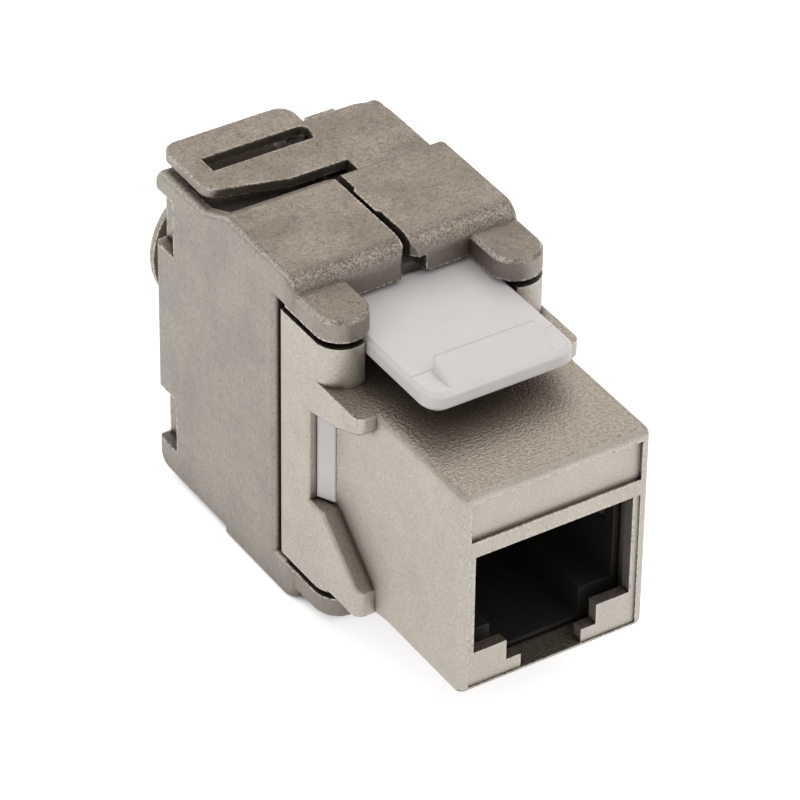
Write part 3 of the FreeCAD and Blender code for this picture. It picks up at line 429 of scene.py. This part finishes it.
def cast_door_finish():
    """Worn casting of the doors: clouded sides with fine hairs, and brown veined tops."""
    material, tree, shader, place = new_finish("worn_nickel_casting")
    at = place["Object"]
    height = along(tree, place["Normal"], "Z")
    ahead = along(tree, place["Normal"], "Y")
    aside = calculate(tree, "ABSOLUTE", along(tree, place["Normal"], "X"))
    up = remap(tree, height, *TOP_FACING)
    skin = use_group(tree, CAST_SKIN, {"Place": at, "Grain": 7000.0, "Ripple": 2800.0})
    grain = skin["Grain"]
    tone = skin["Tone"]
    edge = use_group(tree, WORN_AND_HIGHLIT_EDGES, {"Place": at, "Width": 0.24 * MM, "Fleck": 4200.0})
    crevice_shade = use_group(tree, OCCLUSION_SHADE, {"Reach": 0.6 * MM})["Mask"]
    overhang_shade = use_group(tree, OCCLUSION_SHADE, {"Reach": 5.5 * MM, "Open": 0.85, "Closed": 0.3})["Mask"]
    mottle = noise(tree, at, MOTTLE_SCALE, detail=4.0, roughness=0.7, swirl=2.0)
    mottle = remap(tree, mottle, *MOTTLE_RANGE)
    hairs = use_group(tree, FLECKS, {"Place": at, "Along": HAIR_STRETCH, "Share": HAIR_SHARE})
    specks = use_group(tree, FLECKS, {"Place": at, "Along": SPECK_STRETCH, "Share": SPECK_SHARE})
    veins = use_group(tree, VEINS, {"Place": at})
    side = layered(tree, mix_colour(tree, mottle, DOOR_SIDE_DARK, DOOR_SIDE_LIGHT), [
        (remap(tree, tone, *SIDE_CLOUDS), 0.3, DOOR_SIDE_CLOUD),
        (hairs["Mask"], 0.4, DOOR_SIDE_HAIR),
    ])
    top = layered(tree, mix_colour(tree, mottle, DOOR_TOP_DARK, DOOR_TOP_LIGHT), [
        (remap(tree, tone, *TOP_CLOUDS), 0.5, DOOR_TOP_CLOUD),
        (remap(tree, grain, *TOP_PITS), 0.4, DOOR_TOP_PIT),
        (remap(tree, grain, *TOP_GLINTS), 0.15, WEAR_AND_GLINT_BRIGHT),
        (veins["Mask"], 0.6, FLECK_AND_SHADE_BROWN),
        (specks["Mask"], 0.6, FLECK_AND_SHADE_BROWN),
    ])
    ears = remap(tree, along(tree, at, "Y"), EAR_ROOT, EAR_ROOT - EAR_BLEND)
    brow = both(tree, remap(tree, aside, *BROW_ASIDE), remap(tree, height, *BROW_UP))
    lip = both(tree, remap(tree, ahead, *LIP_AHEAD), remap(tree, height, *LIP_UP))
    off_middle = distance(tree, along(tree, at, "Z"), SEAM_MIDDLE)
    seam = both(tree, beside(tree, at, "Y", DOOR_FRONT, SEAM_REACH), remap(tree, aside, *SEAM_ASIDE))
    seam = both(tree, seam, remap(tree, off_middle, SEAM_HALF, SEAM_HALF - SEAM_BLEND))
    body = layered(tree, mix_colour(tree, up, side, top), [
        (ears, 0.2, FLECK_AND_SHADE_BROWN),
        # Painted shade on faces turned downwards
        (remap(tree, height, *UNDERSIDE_SHADE_FACING), 0.6, FLECK_AND_SHADE_BROWN),
        # Painted shade under overhangs, such as on the tray under the strap
        (overhang_shade, 0.7, SHADE_BROWN),
        # Painted highlights: glints of the grain along the brows and the lips
        (both(tree, brow, remap(tree, grain, *BROW_GLINTS)), 0.6, WEAR_AND_GLINT_BRIGHT),
        (both(tree, lip, remap(tree, grain, *LIP_GLINTS)), 0.28, WEAR_AND_GLINT_BRIGHT),
        (both(tree, lip, remap(tree, grain, *LIP_PITS)), 0.45, FLECK_AND_SHADE_BROWN),
        (both(tree, seam, remap(tree, grain, *SEAM_CRUMBS)), 0.8, SEAM_MARK_AND_CREVICE_SHADE),
        # Bright edge flecks: wear, and a painted highlight along the edges
        (edge["Bright"], 0.7, WEAR_AND_GLINT_BRIGHT),
        (edge["Dark"], 0.6, FLECK_AND_SHADE_BROWN),
        # Painted shade in creases and gaps
        (crevice_shade, 0.85, SEAM_MARK_AND_CREVICE_SHADE),
    ])
    feed(tree, shader.inputs["Base Color"], body)
    shader.inputs["Metallic"].default_value = CAST_METAL
    feed(tree, shader.inputs["Roughness"], remap(tree, tone, *TONE_RANGE, *DOOR_ROUGHNESS))
    relief = calculate(tree, "ADD", grain, both(tree, skin["Ripple"], DOOR_RIPPLE))
    relief = both(tree, relief, remap(tree, up, 0.0, 1.0, *SIDE_TO_TOP_RELIEF))
    feed(tree, shader.inputs["Normal"], bump(tree, relief, DOOR_RELIEF, CAST_BUMP, DOOR_EDGE))
    return material


# Mouldings
MOULDED_WHITE = (0.83, 0.79, 0.782, 1)
MOULDED_WHITE_SHADE = (0.80, 0.76, 0.755, 1)
MANAGER_WHITE = (0.74, 0.73, 0.71, 1)
MANAGER_SHADE = (0.68, 0.67, 0.65, 1)
INSERT_BLACK = (0.018, 0.017, 0.016, 1)
INSERT_SHADE = (0.012, 0.011, 0.01, 1)
MOULDED_SPREAD = 0.06
MOULDED_RELIEF = 0.01 * MM
MOULDED_BUMP = 0.3
MOULDED_EDGE = 0.2 * MM

# Crease across the top of the latch
LATCH_CREASE = -1.25 * MM
CREASE_REACH = 0.09 * MM
CREASE_GREY = (0.4, 0.36, 0.36, 1)
CREASE_FACING = (0.7, 0.9)
CREASE_BREAK_SCALE = 350.0
CREASE_BREAKS = (0.42, 0.55)


def moulded_finish(name, colour, shade, roughness, crease=None):
    """A moulded plastic: fine etched grain, a painted shade in its corners, and a crease across its
    top at a place along Y where one is given."""
    material, tree, shader, place = new_finish(name)
    at = place["Object"]
    skin = use_group(tree, CAST_SKIN, {"Place": at, "Grain": 6000.0, "Ripple": 1500.0})
    crevice_shade = use_group(tree, OCCLUSION_SHADE, {"Reach": 0.5 * MM})["Mask"]
    body = mix_colour(tree, remap(tree, skin["Tone"], *TONE_RANGE), shade, colour)
    if crease is not None:
        line = both(tree, beside(tree, at, "Y", crease, CREASE_REACH),
                    remap(tree, along(tree, place["Normal"], "Z"), *CREASE_FACING))
        line = both(tree, line, remap(tree, noise(tree, at, CREASE_BREAK_SCALE), *CREASE_BREAKS))
        body = layered(tree, body, [(line, 0.5, CREASE_GREY)])
    # Painted shade in the corners, toward the shade colour
    feed(tree, shader.inputs["Base Color"], layered(tree, body, [(crevice_shade, 0.4, shade)]))
    feed(tree, shader.inputs["Roughness"],
         remap(tree, skin["Grain"], *TONE_RANGE, roughness + MOULDED_SPREAD, roughness - MOULDED_SPREAD))
    feed(tree, shader.inputs["Normal"],
         bump(tree, skin["Grain"], MOULDED_RELIEF, MOULDED_BUMP, MOULDED_EDGE))
    return material


# Plated strips
GOLD = (0.83, 0.62, 0.25, 1)
GOLD_WORN = (0.72, 0.5, 0.18, 1)
TIN = (0.72, 0.71, 0.68, 1)
TIN_WORN = (0.6, 0.59, 0.56, 1)
NICKEL = (0.66, 0.64, 0.6, 1)
NICKEL_WORN = (0.55, 0.53, 0.5, 1)
ROLLING_STRETCH = (9000.0, 300.0, 9000.0)
PLATED_SPREAD = 0.07
PLATED_RELIEF = 0.005 * MM
PLATED_BUMP = 0.3


def plated_finish(name, colour, worn, roughness):
    """A plated strip: rolling lines along it, and a slow change of tone."""
    material, tree, shader, place = new_finish(name)
    at = place["Object"]
    skin = use_group(tree, CAST_SKIN, {"Place": at, "Grain": 5000.0, "Ripple": 1500.0})
    drawn = add_node(tree, "Mapping", None, {"Vector": at, "Scale": ROLLING_STRETCH})
    rolled = noise(tree, drawn.outputs["Vector"], 1.0)
    body = mix_colour(tree, remap(tree, skin["Tone"], *TONE_RANGE), worn, colour)
    feed(tree, shader.inputs["Base Color"], body)
    shader.inputs["Metallic"].default_value = 1.0
    feed(tree, shader.inputs["Roughness"],
         remap(tree, rolled, *TONE_RANGE, roughness - PLATED_SPREAD, roughness + PLATED_SPREAD))
    feed(tree, shader.inputs["Normal"], bump(tree, rolled, PLATED_RELIEF, PLATED_BUMP))
    return material


# Circuit board
MASK_DARK = (0.025, 0.16, 0.07, 1)
MASK_LIGHT = (0.05, 0.25, 0.11, 1)
WEAVE_LIGHT = (0.9, 0.9, 0.9, 1)
WEAVE_MIDDLE = (0.6, 0.6, 0.6, 1)
WEAVE_GAP = (0.3, 0.3, 0.3, 1)
WEAVE_SCALE = 900.0
BOARD_GLOSS_SCALE = 1200.0
BOARD_ROUGHNESS = (0.28, 0.4)
BOARD_RELIEF = 0.01 * MM
BOARD_BUMP = 0.2


def board_finish():
    """Green solder mask over the weave of a laminate."""
    material, tree, shader, place = new_finish("solder_mask_laminate")
    at = place["Object"]
    weave = add_node(tree, "TexBrick", None, {"Vector": at, "Scale": WEAVE_SCALE, "Color1": WEAVE_LIGHT,
                                              "Color2": WEAVE_MIDDLE, "Mortar": WEAVE_GAP})
    body = mix_colour(tree, weave.outputs["Color"], MASK_DARK, MASK_LIGHT)
    feed(tree, shader.inputs["Base Color"], body)
    gloss = noise(tree, at, BOARD_GLOSS_SCALE)
    feed(tree, shader.inputs["Roughness"], remap(tree, gloss, *TONE_RANGE, *BOARD_ROUGHNESS))
    feed(tree, shader.inputs["Normal"], bump(tree, weave.outputs["Fac"], BOARD_RELIEF, BOARD_BUMP))
    return material


FINISHES = {
    "cast_front": cast_front_finish(),
    "cast_door": cast_door_finish(),
    "latch_plastic": moulded_finish("white_latch_moulding", MOULDED_WHITE, MOULDED_WHITE_SHADE,
                                    roughness=0.42, crease=LATCH_CREASE),
    "carrier_plastic": moulded_finish("white_carrier_moulding", MOULDED_WHITE, MOULDED_WHITE_SHADE,
                                      roughness=0.45),
    "manager_plastic": moulded_finish("white_manager_moulding", MANAGER_WHITE, MANAGER_SHADE,
                                      roughness=0.5),
    "insert_plastic": moulded_finish("black_insert_moulding", INSERT_BLACK, INSERT_SHADE, roughness=0.6),
    "board_laminate": board_finish(),
    "contact_metal": plated_finish("gold_plated_strip", GOLD, GOLD_WORN, roughness=0.3),
    "terminal_metal": plated_finish("tin_plated_strip", TIN, TIN_WORN, roughness=0.4),
    "spring_metal": plated_finish("nickel_plated_strip", NICKEL, NICKEL_WORN, roughness=0.35),
}


# Cast and moulded pieces with rounded edges

WELD = 0.0005 * MM
SAME_PLACE = 0.002 * MM
SHARP_ANGLE = math.radians(28.0)
FLAT_ANGLE = math.radians(0.3)
BEVEL_STEPS = 3
NORMAL_WEIGHT = 50

# Nose: its corners, its rounding at the stops and further forward, and the rows cut for that
NOSE_LOW = Vector((-7.25, -10.3, -8.0)) * MM
NOSE_HIGH = Vector((7.25, 0.0, 8.25)) * MM
NOSE_EDGE = 0.3 * MM
NOSE_ROUND = 0.65 * MM
NOSE_FADE = -1.5 * MM
NOSE_ROWS = (NOSE_ROUND, NOSE_ROUND * 0.75, NOSE_EDGE, NOSE_EDGE / 2)

# Plate and strap of the right door, and barb of the latch
PLATE_DROP = 0.15 * MM
PLATE_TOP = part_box("right_door")[1].z - PLATE_DROP
STRAP_WALL = 0.75 * MM
STRAP_EDGE = 0.07 * MM
BARB_HALF = 3.95 * MM
BARB_EDGE = 0.2 * MM


def in_plane(edge, plane):
    """Whether an edge lies in a plane, given as an axis and a place on it."""
    axis, place = plane
    return all(abs(vert.co[axis] - place) < SAME_PLACE for vert in edge.verts)


def nose_offset(place, rounding):
    """Step to a place from the box that lies within the nose by the rounding."""
    inner = place.copy()
    inner.x = min(max(place.x, NOSE_LOW.x + rounding), NOSE_HIGH.x - rounding)
    inner.y = max(place.y, NOSE_LOW.y + rounding)
    inner.z = min(max(place.z, NOSE_LOW.z + rounding), NOSE_HIGH.z - rounding)
    return place - inner


def on_nose_skin(place):
    """Whether a place is on the outside of the nose, or on the small rounding of its edges."""
    near = [min(place.x - NOSE_LOW.x, NOSE_HIGH.x - place.x), place.y - NOSE_LOW.y,
            min(place.z - NOSE_LOW.z, NOSE_HIGH.z - place.z)]
    touching = any(abs(gap) < SAME_PLACE for gap in near)
    between = sum(gap < NOSE_EDGE + SAME_PLACE for gap in near) > 1
    return min(near) > -SAME_PLACE and (touching or between)


def round_nose(shape):
    """Widens the small rounding of the nose's outer edges, and lets it fade before the stops."""
    cuts = [(Y, NOSE_FADE)]
    for inset in NOSE_ROWS:
        cuts += [(X, NOSE_LOW.x + inset), (X, NOSE_HIGH.x - inset), (Y, NOSE_LOW.y + inset),
                 (Z, NOSE_LOW.z + inset), (Z, NOSE_HIGH.z - inset)]
    for axis, level in cuts:
        normal = Vector((0, 0, 0))
        normal[axis] = 1
        faces = [face for face in shape.faces if min(vert.co.y for vert in face.verts) < NOSE_FADE]
        # Listed in the order of the faces, so that each run cuts the same mesh
        edges = list(dict.fromkeys(edge for face in faces for edge in face.edges))
        verts = list(dict.fromkeys(vert for face in faces for vert in face.verts))
        bmesh.ops.bisect_plane(shape, geom=faces + edges + verts, dist=SAME_PLACE,
                               plane_co=normal * level, plane_no=normal)
    for vert in shape.verts:
        if vert.co.y < -SAME_PLACE and on_nose_skin(vert.co):
            share = min(vert.co.y / NOSE_FADE, 1.0)
            rounding = NOSE_EDGE + (NOSE_ROUND - NOSE_EDGE) * share
            step = nose_offset(vert.co, rounding)
            if step.length > SAME_PLACE:
                vert.co += step * (rounding / step.length - 1.0)
    shape.normal_update()


def round_edges(shape, width, planes):
    """Rounds the sharp outer edges that lie in some planes."""
    sharp = [edge for edge in shape.edges if edge.is_manifold and edge.is_convex
             and edge.calc_face_angle() > SHARP_ANGLE
             and any(in_plane(edge, plane) for plane in planes)]
    bmesh.ops.bevel(shape, geom=sharp, offset=width, offset_type="OFFSET", affect="EDGES",
                    segments=BEVEL_STEPS, profile=0.5, material=-1, clamp_overlap=False)


def softened(name, node, body, slot, width=0.0, planes=()):
    """A copy of a CAD node, smooth where it curves and with the sharp edges in some planes
    rounded, which stands for the node."""
    shape = bmesh.new()
    shape.from_mesh(frame["nodes"][node].data)
    bmesh.ops.remove_doubles(shape, verts=shape.verts, dist=WELD)
    bmesh.ops.dissolve_limit(shape, angle_limit=FLAT_ANGLE, verts=shape.verts, edges=shape.edges)
    if node == "front_housing":
        round_nose(shape)
    if planes:
        round_edges(shape, width, planes)
    for face in shape.faces:
        face.smooth = True
    for edge in shape.edges:
        edge.smooth = edge.is_manifold and edge.calc_face_angle() < SHARP_ANGLE
    mesh = bpy.data.meshes.new(name)
    shape.to_mesh(mesh)
    shape.free()
    mesh.materials.append(FINISHES[slot])
    piece = bpy.data.objects.new(name, mesh)
    bpy.context.scene.collection.objects.link(piece)
    normals = piece.modifiers.new("flat_faces", "WEIGHTED_NORMAL")
    normals.weight = NORMAL_WEIGHT
    normals.keep_sharp = True
    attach(piece, body)
    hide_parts(node)


softened("cast_nose_and_frame", "front_housing", "housing", "cast_front")
softened("cast_left_door", "left_door", "left_door", "cast_door")
softened("cast_right_door", "right_door", "right_door", "cast_door", STRAP_EDGE,
         [(Z, PLATE_TOP), (Z, PLATE_TOP - STRAP_WALL)])
softened("moulded_release_latch", "release_latch", "latch", "latch_plastic", BARB_EDGE,
         [(X, -BARB_HALF), (X, BARB_HALF)])
softened("moulded_terminal_carrier", "terminal_carrier", "housing", "carrier_plastic")

# Finishes of the CAD nodes
slot_of = {row["node"]: row["material_slot"] for row in frame["record"]["subparts"]}
for node, piece in frame["nodes"].items():
    piece.material_slots[0].material = FINISHES[slot_of[node]]


# Floor and light

FLOOR_SIZE = 40.0
FLOOR_WHITE = 0.8
FLOOR_CHANGE = 0.005
FLOOR_SCALE = 30.0
FLOOR_ROUGHNESS = 0.9
FLOOR_GLOW = 0.72
FLOOR_REACH = 3.0 * MM
FLOOR_OPEN = (0.1, 0.4)
FLOOR_SAMPLES = 16


def floor_finish():
    """A pale floor that shows white to the camera and in the metal, keeps the shadow, and loses its
    glow close under the jack, a painted contact shadow there."""
    material, tree, shader, place = new_finish("pale_floor")
    grain = remap(tree, noise(tree, place["Object"], FLOOR_SCALE), *TONE_RANGE,
                  FLOOR_WHITE - FLOOR_CHANGE, FLOOR_WHITE + FLOOR_CHANGE)
    feed(tree, shader.inputs["Base Color"], grain)
    shader.inputs["Roughness"].default_value = FLOOR_ROUGHNESS
    shader.inputs["Specular IOR Level"].default_value = 0.0
    shader.inputs["Emission Color"].default_value = (1, 1, 1, 1)
    path = add_node(tree, "LightPath").outputs
    seen = calculate(tree, "ADD", path["Is Camera Ray"], path["Is Glossy Ray"], clamp=True)
    seen = calculate(tree, "ADD", seen, path["Is Transmission Ray"], clamp=True)
    # Painted contact shadow: the glow fades where the floor is covered close under the jack
    uncovered = openness(tree, FLOOR_REACH, FLOOR_SAMPLES)
    glow = remap(tree, uncovered, *FLOOR_OPEN, 0.0, FLOOR_GLOW)
    feed(tree, shader.inputs["Emission Strength"], both(tree, seen, glow))
    return material


def add_floor():
    shape = bmesh.new()
    bmesh.ops.create_grid(shape, x_segments=1, y_segments=1, size=FLOOR_SIZE / 2)
    bmesh.ops.translate(shape, verts=shape.verts, vec=(0, 0, cad_box[0].z))
    mesh = bpy.data.meshes.new("pale_floor")
    shape.to_mesh(mesh)
    shape.free()
    mesh.materials.append(floor_finish())
    floor = bpy.data.objects.new("pale_floor", mesh)
    bpy.context.scene.collection.objects.link(floor)


def light_studio():
    world = bpy.data.worlds.new("studio")
    world.use_nodes = True
    ambient = world.node_tree.nodes["Background"]
    ambient.inputs["Color"].default_value = STUDIO_WHITE
    ambient.inputs["Strength"].default_value = 1.0
    bpy.context.scene.world = world
    for softbox in SOFTBOXES:
        add_softbox(*softbox)


add_floor()
light_studio()
add_camera()
bpy.context.scene.view_settings.view_transform = "Standard"
